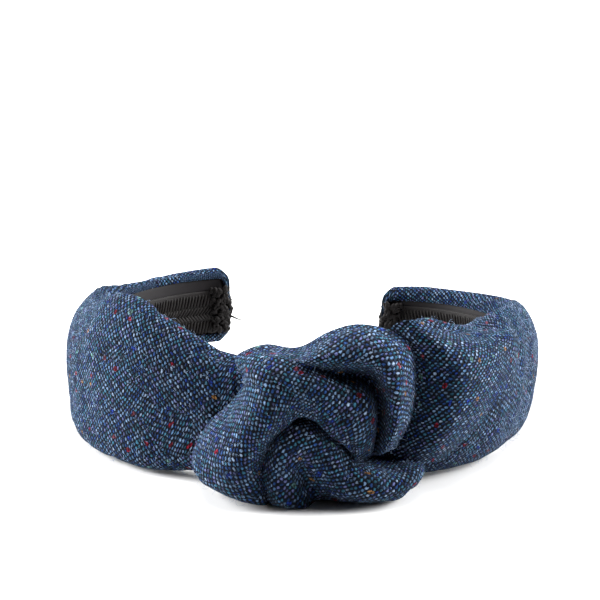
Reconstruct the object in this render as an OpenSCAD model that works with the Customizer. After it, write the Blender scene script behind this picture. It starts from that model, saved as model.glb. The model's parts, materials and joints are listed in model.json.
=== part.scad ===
// Knotted headband: a springy plastic band, padded and sleeved in tweed, with a tied knot at the
// crown, a black lining strip and a braid trim glued along the inside.
// Local band frame: origin on the band's mid line at the crown, +X right, +Y back, +Z across the band.

/* [Band path] */
// Radius of the crown arc, to the middle of the plastic
crown_r = 66; // [55:1:75]
// Angle of the crown arc on each side
crown_a = 62; // [45:1:75]
// Radius of the right side arc
right_side_r = 56; // [45:1:70]
// Angle of the right side arc
right_side_a = 62; // [45:1:75]
// Radius of the right end arc
right_end_r = 36; // [25:1:70]
// Angle of the right end arc
right_end_a = 54; // [20:1:70]
// Radius of the left side arc
left_side_r = 58; // [45:1:70]
// Angle of the left side arc
left_side_a = 60; // [45:1:75]
// Radius of the left end arc
left_end_r = 50; // [25:1:70]
// Angle of the left end arc
left_end_a = 42; // [20:1:70]

/* [Pose on the table] */
// Height of the band's mid line at the crown
crown_z = 23; // [20:0.5:35]
// How far the band's plane leans down to the back, in degrees
lean = 4.9; // [0:0.1:12]
// How much less the left arm leans, in degrees
left_lift = 2.3; // [0:0.1:8]

/* [Plastic band] */
// Thickness of the plastic
core_t = 1.5; // [1:0.1:2.5]
// Half width of the plastic at the crown and sides
core_hw = 16; // [8:0.5:18]
// Half width of the plastic at the ends
core_tip_hw = 9; // [6:0.5:14]

/* [Cover] */
// Thickness of the tweed
cloth_t = 1.1; // [0.6:0.1:2]
// How far the tweed reaches past the end of the plastic
cover_over = 2.4; // [1:0.1:5]
// Half width of the bare strip between the turned hems
hem_gap = 9; // [7:0.5:12]

/* [Lining and trim] */
// Half width of the smooth black strip
lining_hw = 8.5; // [6:0.5:11]
// Half width of the braid
trim_hw = 7.25; // [5:0.25:9]
// How far the braid sits below the middle
trim_drop = 1.2; // [0:0.1:3]
// Thickness of the braid
trim_t = 1.3; // [0.8:0.1:2.5]

/* [Flexing] */
// Distance along the band from the crown to the left flexing line
left_s = 42; // [30:1:60]
// Distance along the band from the crown to the right flexing line
right_s = 48; // [30:1:60]
// Gap at the flexing line in the plastic, each side
flex_gap = 0.25; // [0.1:0.05:1]
// Gap at the flexing line in the cover, each side
cover_gap = 1.9; // [0.5:0.1:4]

/* [Node] */
// Which node to draw

/* [Hidden] */
// Knot front to crown mid line, and the shift that centres the whole part over the origin
knot_d = 30;
centre = [0.3, -74.3, 0];
RIGHT = [[crown_r, crown_a], [right_side_r, right_side_a], [right_end_r, right_end_a]];
LEFT = [[crown_r, crown_a], [left_side_r, left_side_a], [left_end_r, left_end_a]];
TWEED = [0.16, 0.22, 0.36];
TWEED2 = [0.22, 0.30, 0.46];
BLACK = [0.03, 0.03, 0.035];
PLASTIC = [0.08, 0.08, 0.09];
FOAM = [0.8, 0.8, 0.76];

function arc_len(s) = s[0] * s[1] * PI / 180;
function path_len(P) = arc_len(P[0]) + arc_len(P[1]) + arc_len(P[2]);
function arc_end(p, s) = [p[0] + s[0] * (sin(p[2] + s[1]) - sin(p[2])),
  p[1] + s[0] * (cos(p[2]) - cos(p[2] + s[1])), p[2] + s[1]];
// Point and heading at distance s along a path that starts at the crown
function at(P, s, p = [0, 0, 0], i = 0) =
  let (L = arc_len(P[i]))
  (s <= L || i == 2) ? arc_end(p, [P[i][0], s / P[i][0] * 180 / PI])
    : at(P, s - L, arc_end(p, P[i]), i + 1);
function lerp(a, b, t) = a + (b - a) * t;
// Value at x in a table of rows [x, a, b, ...]
function table(T, x, i = 0) =
  (x <= T[0][0]) ? T[0] : (x >= T[len(T) - 1][0]) ? T[len(T) - 1]
    : (x <= T[i + 1][0]) ? lerp(T[i], T[i + 1], (x - T[i][0]) / (T[i + 1][0] - T[i][0]))
    : table(T, x, i + 1);
function unit(v) = v / norm(v);
function sp(v, e) = sign(v) * pow(abs(v), e);

// Rows [fraction along the arm, height above the mid line, height below it, bulge outwards]
RIGHT_FORM = [[0, 19, 18, 6], [0.2, 19.5, 18.5, 7.5], [0.5, 20, 18.7, 8], [0.75, 17, 15.4, 6.5],
  [0.9, 14, 13, 5], [1, 12.5, 12, 4.2], [1.1, 12.5, 12, 4.2]];
LEFT_FORM = [[0, 17, 18, 6], [0.2, 17.5, 18.5, 6.5], [0.3, 21, 19, 7.5], [0.42, 24.5, 19.5, 8.3],
  [0.52, 24, 19.5, 8.3], [0.75, 17.5, 16.8, 6.5], [0.9, 13.5, 13.5, 5], [1, 12, 12, 4.2],
  [1.1, 12, 12, 4.2]];

// Closed loft through rings of equal length, the rings running anticlockwise seen from the start
module loft(rings) {
  m = len(rings[0]);
  n = len(rings);
  polyhedron(points = [for (r = rings) each r],
    faces = concat([[for (k = [0 : m - 1]) k]],
      [for (i = [0 : n - 2]) for (k = [0 : m - 1]) let (q = (k + 1) % m)
        each [[i * m + k, (i + 1) * m + k, (i + 1) * m + q], [i * m + k, (i + 1) * m + q, i * m + q]]],
      [[for (k = [m - 1 : -1 : 0]) (n - 1) * m + k]]), convexity = 6);
}
// Loft of an open channel: outer and inner lines of equal length, closed by strips at each end
module channel(outer, inner) {
  m = len(outer[0]);
  n = len(outer);
  w = 2 * m;
  polyhedron(points = [for (i = [0 : n - 1]) each concat(outer[i], inner[i])],
    faces = concat(
      [for (k = [0 : m - 2]) each [[k, k + 1, m + k + 1], [k, m + k + 1, m + k]]],
      [for (k = [0 : m - 2]) let (b = (n - 1) * w)
        each [[b + k + 1, b + k, b + m + k], [b + k + 1, b + m + k, b + m + k + 1]]],
      [for (i = [0 : n - 2]) for (k = [0 : m - 2]) let (a = i * w + k, b = (i + 1) * w + k)
        each [[a, b, b + 1], [a, b + 1, a + 1], [a + m, a + m + 1, b + m + 1], [a + m, b + m + 1, b + m]]],
      [for (i = [0 : n - 2]) let (a = i * w, b = (i + 1) * w) each [
        [a + m, b + m, b], [a + m, b, a],
        [a + m - 1, b + m - 1, b + w - 1], [a + m - 1, b + w - 1, a + w - 1]]]), convexity = 8);
}
// Section point: u outwards from the mid line, w across the band
function place(P, s, u, w) = let (q = at(P, s)) [q[0] + u * sin(q[2]), q[1] - u * cos(q[2]), w];
function bow(f, inset, base, a) =
  [base + (f[3] - inset - base) * pow(sin(a), 0.75),
   cos(a) >= 0 ? (f[1] - inset) * sp(cos(a), 0.7) : (f[2] - inset) * sp(cos(a), 0.7)];
function sleeve_line(P, T, s, inset, hem) =
  let (f = table(T, s / path_len(P)), back = -2.2 + inset)
  concat([place(P, s, back, hem)],
    [for (a = [0 : 10 : 180]) let (b = bow(f, inset, back, a)) place(P, s, b[0], b[1])],
    [place(P, s, back, -hem)]);
function steps(a, b, d) = let (n = ceil(abs(b - a) / d)) [for (i = [0 : n]) lerp(a, b, i / n)];

// Sleeve of cloth round the band at the distances S, open along the inside between its hems
module sleeve(P, T, S)
  channel([for (s = S) sleeve_line(P, T, s, 0, hem_gap)],
    [for (s = S) sleeve_line(P, T, s, cloth_t, hem_gap)]);
// Cloth folded over the end of an arm
module end_cap(P, T) {
  L = path_len(P);
  f = table(T, 1);
  loft([for (q = [[0.35, 1], [1.2, 0.97], [cover_over * 0.75, 0.88], [cover_over, 0.72]])
    concat([for (a = [0 : 10 : 180]) let (b = bow(f, 0, -2.2, a))
        place(P, L + q[0], -2.2 + (b[0] + 2.2) * q[1], b[1] * q[1])])]);
}
// Wadding under the sleeve, flat against the plastic
module pad(P, T, s0, s1) {
  b0 = core_t / 2 + 0.2;
  loft([for (s = steps(s0, s1, 5))
    let (f = table(T, s / path_len(P)), L = [for (a = [25 : 13 : 155]) bow(f, cloth_t + 0.6, -0.5, a)])
    concat([place(P, s, b0, L[0][1])], [for (b = L) place(P, s, b[0], b[1])],
      [place(P, s, b0, L[len(L) - 1][1])])]);
}
module crown_band(gap, u0, u1, z0, z1) {
  a = (left_s - gap) / crown_r * 180 / PI;
  b = (right_s - gap) / crown_r * 180 / PI;
  translate([0, crown_r, z0]) rotate([0, 0, -90 - a])
    rotate_extrude(angle = a + b, $fn = 96) translate([crown_r + u0, 0]) square([u1 - u0, z1 - z0]);
}
// Ribbon along an arm through rows [s, u0, u1, z0, z1]
module ribbon(P, R)
  loft([for (r = R) [place(P, r[0], r[1], r[4]), place(P, r[0], r[2], r[4]), place(P, r[0], r[2], r[3]),
    place(P, r[0], r[1], r[3])]]);
// Half width of the plastic at s: full to the sides, narrowing to the rounded end
function core_w(s, L) =
  let (r = core_tip_hw, w = s < 90 ? core_hw : lerp(core_hw, r, (s - 90) / (L - r - 90)), d = L - s)
  d >= r ? w : max(sqrt(max(r * r - (r - d) * (r - d), 0)), 1.5);
module core_arm(P, s0) {
  L = path_len(P);
  tip = [for (k = [7, 5, 3.2, 1.8, 0.8, 0.2, 0]) L - k];
  ribbon(P, [for (s = concat(steps(s0, L - core_tip_hw, 2.5), tip))
    [s, -core_t / 2, core_t / 2, -core_w(s, L), core_w(s, L)]]);
}

// Places the crown and the right arm on the table, and the left arm with its own lift
module on_table() {
  translate(centre + [0, knot_d, crown_z]) rotate([-lean, 0, 0]) children();
}
module left_side() {
  q = at(LEFT, left_s);
  on_table() translate([-q[0], q[1], 0]) rotate([left_lift, 0, 0]) translate([q[0], -q[1], 0])
    mirror([1, 0, 0]) children();
}

// Springy plastic band, in three lengths that meet at the flexing lines
module core_crown() color(PLASTIC) on_table()
  crown_band(flex_gap, -core_t / 2, core_t / 2, -core_hw, core_hw);
module core_left() color(PLASTIC) left_side() core_arm(LEFT, left_s + flex_gap);
module core_right() color(PLASTIC) on_table() core_arm(RIGHT, right_s + flex_gap);

// Wadding on the outside of the plastic
module pad_crown() color(FOAM) on_table() crown_band(cover_gap, core_t / 2 + 0.2, 3.4, -14.5, 14.5);
module pad_left() color(FOAM) left_side() pad(LEFT, LEFT_FORM, left_s + cover_gap, path_len(LEFT) - 1);
module pad_right() color(FOAM) on_table() pad(RIGHT, RIGHT_FORM, right_s + cover_gap, path_len(RIGHT) - 1);

// Tweed sleeve: its hems turn over the edges of the band on to the inside
module cover_crown() color(TWEED) on_table()
  sleeve(RIGHT, [[0, 17, 16.8, 5.4], [1, 17, 16.8, 5.4]],
    steps(-left_s + cover_gap, right_s - cover_gap, 4));
module cover_left() color(TWEED) left_side() {
  sleeve(LEFT, LEFT_FORM, steps(left_s + cover_gap, path_len(LEFT) + 0.4, 5));
  end_cap(LEFT, LEFT_FORM);
}
module cover_right() color(TWEED) on_table() {
  sleeve(RIGHT, RIGHT_FORM, steps(right_s + cover_gap, path_len(RIGHT) + 0.4, 5));
  end_cap(RIGHT, RIGHT_FORM);
}

// Smooth black strip glued over the hems, and the braid glued on the strip
lining_u = -core_t / 2 - 0.2;
module strip(P, s0)
  ribbon(P, [for (s = steps(s0, path_len(P), 2.5)) [s, lining_u - 0.5, lining_u, -lining_hw, lining_hw]]);
module lining_crown() color(BLACK) on_table()
  crown_band(flex_gap, lining_u - 0.5, lining_u, -lining_hw, lining_hw);
module lining_left() color(BLACK) left_side() strip(LEFT, left_s + flex_gap);
module lining_right() color(BLACK) on_table() strip(RIGHT, right_s + flex_gap);

trim_u = lining_u - 0.6;
// Its end is folded under itself, which makes it three layers thick for the last few millimetres
module braid(P, s0) {
  L = path_len(P) - 0.3;
  fold = [[L - 4, 1.4], [L - 3, 2], [L - 1, 2], [L, 1.2]];
  ribbon(P, [for (q = concat([for (s = steps(s0, L - 4.6, 2.5)) [s, 0]], fold))
    [q[0], trim_u - trim_t - q[1], trim_u, -trim_hw - trim_drop, trim_hw - trim_drop]]);
}
module trim_crown() color(BLACK) on_table()
  crown_band(flex_gap, trim_u - trim_t, trim_u, -trim_hw - trim_drop, trim_hw - trim_drop);
module trim_left() color(BLACK) left_side() braid(LEFT, left_s + flex_gap);
module trim_right() color(BLACK) on_table() braid(RIGHT, right_s + flex_gap);
// Loose sewing thread at the end of the left braid
module thread_tail() color(BLACK) left_side() {
  e = at(LEFT, path_len(LEFT));
  translate([e[0], e[1], -4]) rotate([0, 0, e[2]]) translate([0, -trim_u + 1.7, 0])
    rotate([0, 80, 0]) cylinder(h = 5, r = 0.3, $fn = 16);
}

// Knot strands: rows [x, y, z, across x, across y, across z, half width, half thickness]
ARCH = [[-24, 14, -3, 1, 0, 0.3, 9, 9.5], [-21.5, 13.5, 8, 1, 0, 0.35, 11, 11],
  [-17, 13.5, 19, 1, 0, -0.4, 10.8, 11.5], [-9, 13.5, 30, 0.7, 0, -0.7, 10.5, 11.5],
  [3, 13.5, 36.5, 0.1, 0, -1, 9.5, 11.5], [15, 13.5, 37, -0.2, 0, -1, 9, 11],
  [24.5, 14.5, 31, -1, 0, -0.6, 8, 10], [28.5, 15, 23, -1, 0, 0, 6.5, 9],
  [28.5, 15.5, 18.5, -1, 0, 0, 4, 6]];
INNER = [[2.5, 14, 20, 0, 0, -1, 2, 4], [5, 13, 20.3, 0, 0, -1, 3.6, 8], [10, 12.5, 20.4, 0, 0, -1, 4.3, 9],
  [15.5, 12.5, 19.8, -0.1, 0, -1, 4, 8.5], [19, 14, 19, -0.1, 0, -1, 2.3, 5]];
LOBE = [[4.5, 12, 7, 0, 0, 1, 3, 5], [6.2, 11, 6.8, 0, 0, 1, 5.5, 9.5], [10, 10.5, 6.3, 0, 0, 1, 6.8, 10.5],
  [18, 10.5, 6.6, 0, 0, 1, 7, 10.5], [28, 12.5, 8.4, 0.1, 0, 1, 6.8, 10], [35, 16, 11, 0.3, 0, 1, 5.5, 8],
  [38.5, 19, 13, 0.3, 0, 1, 3, 4.5]];
FOLD = [[-2, 13, 15, -1, 0, 0, 2, 4], [-3, 11.5, 12, -1, 0, 0, 3.6, 8], [-3.6, 11, 7, -1, 0, 0, 4.6, 9.5],
  [-3.4, 11.5, 1, -1, 0, 0, 4.4, 8.5], [-3, 12, -1, -1, 0, 0, 3.5, 7]];
GATHER = [[35, 28.5, 44, 1, 0.3, 0, 4, 3], [39.5, 27, 38.5, 1, 0.3, 0, 6.8, 6.5],
  [42.5, 26.5, 31, 1, 0.4, 0, 7, 7.5], [43, 27, 25, 1, 0.4, 0, 5.5, 6], [42, 28, 21, 1, 0.4, 0, 3, 4]];

function cr(P, i, t) =
  let (a = P[max(i - 1, 0)], b = P[i], c = P[i + 1], d = P[min(i + 2, len(P) - 1)])
  0.5 * (2 * b + (c - a) * t + (2 * a - 5 * b + 4 * c - d) * t * t + (3 * b - a - 3 * c + d) * t * t * t);
function spline(P, n) =
  concat([for (i = [0 : len(P) - 2]) for (k = [0 : n - 1]) cr(P, i, k / n)], [P[len(P) - 1]]);
function xyz(r) = [r[0], r[1], r[2]];
module strand(R) {
  S = spline(R, 4);
  n = len(S);
  loft([for (i = [0 : n - 1])
    let (s = S[i], c = xyz(s), t = unit(xyz(S[min(i + 1, n - 1)]) - xyz(S[max(i - 1, 0)])),
      w0 = [s[3], s[4], s[5]], w = unit(w0 - (w0 * t) * t), h = cross(w, t))
    [for (a = [0 : 20 : 340]) c + s[6] * sp(cos(a), 0.9) * w + s[7] * sp(sin(a), 0.9) * h]]);
}
// Room behind the strands: the covered crown, and everything below the table
module behind() {
  translate(-centre) on_table() translate([0, crown_r, -40]) cylinder(h = 80, r = crown_r + 5.8, $fn = 180);
  translate([-60, -20, -30]) cube([120, 80, 30]);
}
// Outer strand, over the top of the knot from lower left to lower right
module knot_arch() color(TWEED2) translate(centre) difference() {
  strand(ARCH);
  behind();
}
// Lobe that hooks under the outer strand and rests on the table
module knot_lobe() color(TWEED) translate(centre) difference() {
  strand(LOBE);
  behind();
}
// Narrow upright fold between the outer strand's foot and the lobe
module knot_fold() color(TWEED2) translate(centre) difference() {
  strand(FOLD);
  behind();
}
// Inner layer nested under the outer strand
module knot_inner() color(TWEED2) translate(centre) difference() {
  strand(INNER);
  behind();
}
// Right tail, gathered where it runs into the knot
module knot_gather() color(TWEED) translate(centre) difference() {
  strand(GATHER);
  behind();
}

core_crown();
core_left();
core_right();
pad_crown();
pad_left();
pad_right();
cover_crown();
cover_left();
cover_right();
knot_arch();
knot_inner();
knot_lobe();
knot_fold();
knot_gather();
lining_crown();
lining_left();
lining_right();
trim_crown();
trim_left();
trim_right();
thread_tail();
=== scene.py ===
import json
import math

import bpy
import numpy as np
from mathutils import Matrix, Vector, noise
from mathutils.bvhtree import BVHTree


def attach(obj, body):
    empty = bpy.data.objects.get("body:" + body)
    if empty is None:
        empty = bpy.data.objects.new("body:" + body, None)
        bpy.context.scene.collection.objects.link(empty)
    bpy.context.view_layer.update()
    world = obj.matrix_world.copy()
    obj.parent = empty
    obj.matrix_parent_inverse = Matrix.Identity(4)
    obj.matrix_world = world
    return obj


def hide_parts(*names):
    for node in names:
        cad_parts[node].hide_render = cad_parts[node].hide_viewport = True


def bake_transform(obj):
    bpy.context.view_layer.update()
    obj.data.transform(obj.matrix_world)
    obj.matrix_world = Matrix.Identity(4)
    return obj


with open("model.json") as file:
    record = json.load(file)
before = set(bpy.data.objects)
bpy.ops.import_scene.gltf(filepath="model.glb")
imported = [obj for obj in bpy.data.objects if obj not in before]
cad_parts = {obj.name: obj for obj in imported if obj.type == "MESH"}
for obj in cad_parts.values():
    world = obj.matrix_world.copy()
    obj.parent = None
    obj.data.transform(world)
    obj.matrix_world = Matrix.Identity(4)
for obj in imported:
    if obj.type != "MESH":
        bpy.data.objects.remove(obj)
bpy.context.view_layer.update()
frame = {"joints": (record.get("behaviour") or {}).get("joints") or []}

# ---------------------------------------------------------------- plastic band
# One springy moulded strip gives the headband its C shape, and every other piece is laid on it.
# Its mid line is three arcs a side, laid out from the left flexing line that the record states.
# The strip's own body is made further down, once there is cloth to push it into.
MM = 0.001
# radius in mm and angle in degrees of each side's crown, side and end arcs
ARCS = {
    "left": ((66, 62), (58, 60), (50, 42)),
    "right": ((66, 62), (56, 62), (36, 54)),
}
FLEX_AT = {"left": 42, "right": 48}
# the left arm also springs up a little, over this many mm about its flexing line
LEFT_LIFT, LIFT_SPREAD = math.radians(2.3), 28
HINGE = {joint["child"].removesuffix("_arm"): joint for joint in frame["joints"]}


def band_line(side, s):
    """Mid line of the band at distances s from the crown, in mm: x, y and heading."""
    s = np.asarray(s, float)
    x, y, h = np.zeros_like(s), np.zeros_like(s), np.zeros_like(s)
    left = s.copy()
    for i, (radius, degrees) in enumerate(ARCS[side]):
        whole = radius * math.radians(degrees)
        part = left if i == 2 else np.minimum(left, whole)
        turn = part / radius
        x += radius * (np.sin(h + turn) - np.sin(h))
        y += radius * (np.cos(h) - np.cos(h + turn))
        h = h + turn
        left = left - part
    return x, y, h


def band_length(side):
    return sum(radius * math.radians(degrees) for radius, degrees in ARCS[side])


# the whole band leans by the tilt of its flexing line, and the crown is worked back from that line
LEAN = math.asin(HINGE["left"]["axis"][1])
hinge_x, hinge_y, _ = band_line("left", FLEX_AT["left"])
hinge_at = np.array(HINGE["left"]["pos_m"])
CROWN = hinge_at - MM * np.array(
    [-hinge_x, hinge_y * math.cos(LEAN), -hinge_y * math.sin(LEAN)]
)


def soft_step(t):
    t = np.clip(t, 0, 1)
    return t * t * (3 - 2 * t)


def on_band(side, s, u, w):
    """Places, in metres, of points u mm out from the mid line and w mm up across the band."""
    s, u, w = np.broadcast_arrays(*(np.asarray(a, float) for a in (s, u, w)))
    x, y, h = band_line(side, s)
    x, y, z = x + u * np.sin(h), y - u * np.cos(h), w.copy()
    if side == "left":
        lift = LEFT_LIFT * soft_step((s - FLEX_AT["left"] + LIFT_SPREAD / 2) / LIFT_SPREAD)
        x, behind = -x, y - hinge_y
        y = hinge_y + behind * np.cos(lift) - z * np.sin(lift)
        z = behind * np.sin(lift) + z * np.cos(lift)
    c, n = math.cos(LEAN), math.sin(LEAN)
    return CROWN + MM * np.stack([x, y * c + z * n, z * c - y * n], axis=-1)


# ---------------------------------------------------------------- tweed cloth
# Heavy plain-weave wool tweed, about 0.9 mm between threads: a heathered pale blue yarn floats in
# dots over a near-black navy one, with flecks of red, ochre, royal blue and pale green spun in.
class Signal:
    """A shader value that can be written in expressions, each operator adding its Math node."""

    tree = None

    def __init__(self, socket):
        self.socket = socket

    @classmethod
    def node(cls, kind, settings=None, values=None, out=0):
        made = cls.tree.nodes.new(kind)
        for name, value in (settings or {}).items():
            setattr(made, name, value)
        for name, value in (values or {}).items():
            if isinstance(value, Signal):
                cls.tree.links.new(value.socket, made.inputs[name])
            else:
                made.inputs[name].default_value = value
        return Signal(made.outputs[out])

    @classmethod
    def maths(cls, operation, *terms, clamp=False):
        return cls.node(
            "ShaderNodeMath",
            {"operation": operation, "use_clamp": clamp},
            dict(enumerate(terms)),
        )

    def __add__(self, other):
        return self.maths("ADD", self, other)

    __radd__ = __add__

    def __sub__(self, other):
        return self.maths("SUBTRACT", self, other)

    def __rsub__(self, other):
        return self.maths("SUBTRACT", other, self)

    def __mul__(self, other):
        return self.maths("MULTIPLY", self, other)

    __rmul__ = __mul__

    def __truediv__(self, other):
        return self.maths("DIVIDE", self, other)

    def __rtruediv__(self, other):
        return self.maths("DIVIDE", other, self)

    def __lt__(self, other):
        return self.maths("LESS_THAN", self, other)

    def __gt__(self, other):
        return self.maths("GREATER_THAN", self, other)

    def floor(self):
        return self.maths("FLOOR", self)

    def mod(self, other):
        return self.maths("FLOORED_MODULO", self, other)

    def clamp(self):
        """Held between 0 and 1."""
        return self.maths("MULTIPLY", self, 1.0, clamp=True)


def vector(x, y, z=0.0):
    return Signal.node("ShaderNodeCombineXYZ", values={"X": x, "Y": y, "Z": z})


def mix(share, a, b, blend="MIX"):
    """Colour a to colour b by share."""
    return Signal.node(
        "ShaderNodeMix",
        {"data_type": "RGBA", "blend_type": blend, "clamp_factor": True},
        {0: share, 6: a, 7: b},
        out=2,
    )


def ramp(value, stops):
    """Colour read from a stepped ramp of (place, colour) stops."""
    made = Signal.node("ShaderNodeValToRGB", values={"Fac": value})
    band = made.socket.node.color_ramp
    band.interpolation = "CONSTANT"
    while len(band.elements) < len(stops):
        band.elements.new(0.5)
    for element, (place, colour) in zip(band.elements, stops):
        element.position = place
        element.color = (*colour, 1)
    return made


def split(v):
    """The three parts of a vector."""
    parts = Signal.node("ShaderNodeSeparateXYZ", values={"Vector": v}).socket.node
    return [Signal(part) for part in parts.outputs]


def noise_2d(place, scale, detail=2.0, out=0):
    settings = {"noise_dimensions": "2D"}
    values = {"Vector": place, "Scale": scale, "Detail": detail}
    return Signal.node("ShaderNodeTexNoise", settings, values, out)


def luck(x, y, row=0.0):
    """A number from 0 to 1 that is random for each whole x and y."""
    return Signal.node("ShaderNodeTexWhiteNoise", values={"Vector": vector(x, y, row)})


def bump(height, strength, depth):
    values = {"Height": height, "Strength": strength, "Distance": depth * MM}
    return Signal.node("ShaderNodeBump", values=values)


def material(name, roughness, **constants):
    """A new material and its shader, with the sockets that are the same all over."""
    made = bpy.data.materials.new(name)
    made.use_nodes = True
    Signal.tree = made.node_tree
    shader = made.node_tree.nodes["Principled BSDF"]
    shader.inputs["Roughness"].default_value = roughness
    for socket, value in constants.items():
        shader.inputs[socket.replace("_", " ")].default_value = value
    return made, shader


def into(shader, socket, signal):
    Signal.tree.links.new(signal.socket, shader.inputs[socket])


# mm between threads, and the colours of the pale yarn, the dark yarn and the flecks by share
THREAD_PITCH = 0.82
HEATHER = [
    (0.00, (0.035, 0.102, 0.203)),
    (0.16, (0.079, 0.168, 0.316)),
    (0.32, (0.017, 0.055, 0.187)),
    (0.44, (0.135, 0.225, 0.374)),
    (0.56, (0.035, 0.132, 0.212)),
    (0.68, (0.095, 0.115, 0.268)),
    (0.80, (0.219, 0.305, 0.449)),
    (0.90, (0.011, 0.034, 0.198)),
]
NAVY = [
    (0.00, (0.0030, 0.0050, 0.0120)),
    (0.45, (0.0050, 0.0090, 0.0220)),
    (0.75, (0.0090, 0.0200, 0.0500)),
    (0.90, (0.0030, 0.0040, 0.0060)),
]
FLECKS = [
    (0.00, (0.230, 0.006, 0.022)),
    (0.30, (0.300, 0.150, 0.050)),
    (0.48, (0.012, 0.040, 0.300)),
    (0.70, (0.120, 0.260, 0.250)),
    (0.84, (0.220, 0.045, 0.070)),
]


def make_tweed():
    made, shader = material(
        "tweed", 0.92, Sheen_Weight=0.05, Sheen_Roughness=0.5,
        Sheen_Tint=(0.55, 0.66, 0.92, 1), Specular_IOR_Level=0.06,
    )
    cloth = Signal.node("ShaderNodeUVMap", {"uv_map": "threads"})
    x, y, _ = split(cloth)
    # no thread runs quite straight: a slow wander and a quick unevenness, in threads
    wander_x, wander_y, _ = split(noise_2d(cloth, 0.35, out=1))
    jitter_x, jitter_y, _ = split(noise_2d(cloth, 1.1, out=1))
    x = x / THREAD_PITCH + (wander_x - 0.5) * 1.3 + (jitter_x - 0.5) * 0.55
    y = y / THREAD_PITCH + (wander_y - 0.5) * 1.3 + (jitter_y - 0.5) * 0.55
    column, line = x.floor(), y.floor()
    dx, dy = x - column - 0.5, y - line - 0.5
    dark_up = (column + line).mod(2.0)
    # the pale yarn runs across the strip: its floats are wider than long, and slanted by its twist
    slanted = dy + dx * 0.17
    pale = (1 - dx * dx * 1.7 - slanted * slanted * 4.6).clamp()
    dark = (1 - dx * dx * 4.6 - dy * dy * 1.9).clamp() * 0.7
    height = pale * (1 - dark_up) + dark * dark_up
    # each yarn keeps its tone for three floats, and each float differs a little
    tone_pale = luck(((column + line * 7.3) / 3.0).floor(), line)
    tone_cell = luck(column, line, 3.0)
    tone_dark = luck(column, ((line + column * 5.1) / 3.0).floor(), 9.0)
    yarn = mix(dark_up, ramp(tone_pale * 0.5 + tone_cell * 0.5, HEATHER), ramp(tone_dark, NAVY))
    fleck = Signal.node(
        "ShaderNodeTexVoronoi",
        {"voronoi_dimensions": "2D"},
        {"Vector": vector(x, y * 0.8), "Scale": 0.16},
    )
    fleck_hue, fleck_luck, _ = split(Signal(fleck.socket.node.outputs["Color"]))
    yarn = mix((fleck < 0.12) * (fleck_luck < 0.4), yarn, ramp(fleck_hue, FLECKS))
    worn = luck(line, column, 5.0)
    fibre = noise_2d(cloth, 3.2, detail=3.0)
    # painted shade: the colour falls to 0.04 towards each float's edges and in the gaps between
    # threads, following the weave's height; fibre noise and a random dimming of each float add the
    # yarn's own uneven tone
    gap_shade_and_tone = (0.04 + 0.96 * height) * (0.2 + 1.3 * fibre) * (0.35 + 0.85 * worn)
    into(shader, "Base Color", mix(1.0, yarn, vector(gap_shade_and_tone, gap_shade_and_tone, gap_shade_and_tone), "MULTIPLY"))
    into(shader, "Normal", bump(height + fibre * 0.6, 0.8, 0.35))
    return made


tweed = make_tweed()


def smooth_through(points, per_span, closed=False):
    """Points of a smooth curve through the given ones, per_span for each span, along axis 0."""
    p = np.asarray(points, float)
    n = len(p)
    spans = n if closed else n - 1
    pick = (lambda i: p[i % n]) if closed else (lambda i: p[min(max(i, 0), n - 1)])
    t = (np.arange(per_span) / per_span).reshape((-1,) + (1,) * (p.ndim - 1))
    out = []
    for i in range(spans):
        a, b, c, d = (pick(i + k) for k in (-1, 0, 1, 2))
        bend, twist = 2 * a - 5 * b + 4 * c - d, 3 * b - a - 3 * c + d
        out.append(0.5 * (2 * b + (c - a) * t + bend * t**2 + twist * t**3))
    if not closed:
        out.append(p[-1:])
    return np.concatenate(out)


def even_line(points, n):
    """n points evenly spaced along a smooth curve through the given ones."""
    fine = smooth_through(points, 16)
    run = np.concatenate([[0], np.cumsum(np.linalg.norm(np.diff(fine, axis=0), axis=1))])
    at = np.linspace(0, run[-1], n)
    return np.stack([np.interp(at, run, fine[:, k]) for k in range(fine.shape[1])], axis=1)


def skin(name, rings, threads, surface):
    """Closed loft through rings of points (rows, points, 3), with the thread map in mm."""
    rows, around = rings.shape[:2]
    index = np.arange(rows * around).reshape(rows, around)
    beside = np.roll(index, -1, axis=1)
    quads = np.stack([index[:-1], beside[:-1], beside[1:], index[1:]], axis=-1)
    faces = quads.reshape(-1, 4).tolist() + [index[0][::-1].tolist(), index[-1].tolist()]
    mesh = bpy.data.meshes.new(name)
    mesh.from_pydata(rings.reshape(-1, 3).tolist(), [], faces)
    layer = mesh.uv_layers.new(name="threads")
    uv = np.zeros((len(mesh.loops), 2), np.float32)
    first, second = threads[:-1], threads[1:]
    corner = np.stack(
        [first[:, :-1], first[:, 1:], second[:, 1:], second[:, :-1]], axis=2
    ).reshape(-1, 2)
    uv[: len(corner)] = corner
    layer.data.foreach_set("uv", uv.ravel())
    mesh.polygons.foreach_set("use_smooth", [len(f) == 4 for f in faces])
    mesh.materials.append(surface)
    mesh.validate()
    piece = bpy.data.objects.new(name, mesh)
    bpy.context.scene.collection.objects.link(piece)
    return piece


def thread_map(rings, start, common_length=False):
    """Distances in mm along and across the cloth, across counted from point number start."""
    closed = np.concatenate([rings, rings[:, :1]], axis=1) / MM
    across = np.linalg.norm(np.diff(closed, axis=1), axis=2)
    across = np.concatenate([np.zeros((len(rings), 1)), np.cumsum(across, axis=1)], axis=1)
    across -= across[:, start : start + 1]
    along = np.linalg.norm(np.diff(closed, axis=0), axis=2)
    along = np.concatenate([np.zeros((1, closed.shape[1])), np.cumsum(along, axis=0)])
    if common_length:
        along = np.repeat(along[:, start : start + 1], closed.shape[1], axis=1)
    return np.stack([across, along], axis=2)


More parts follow.
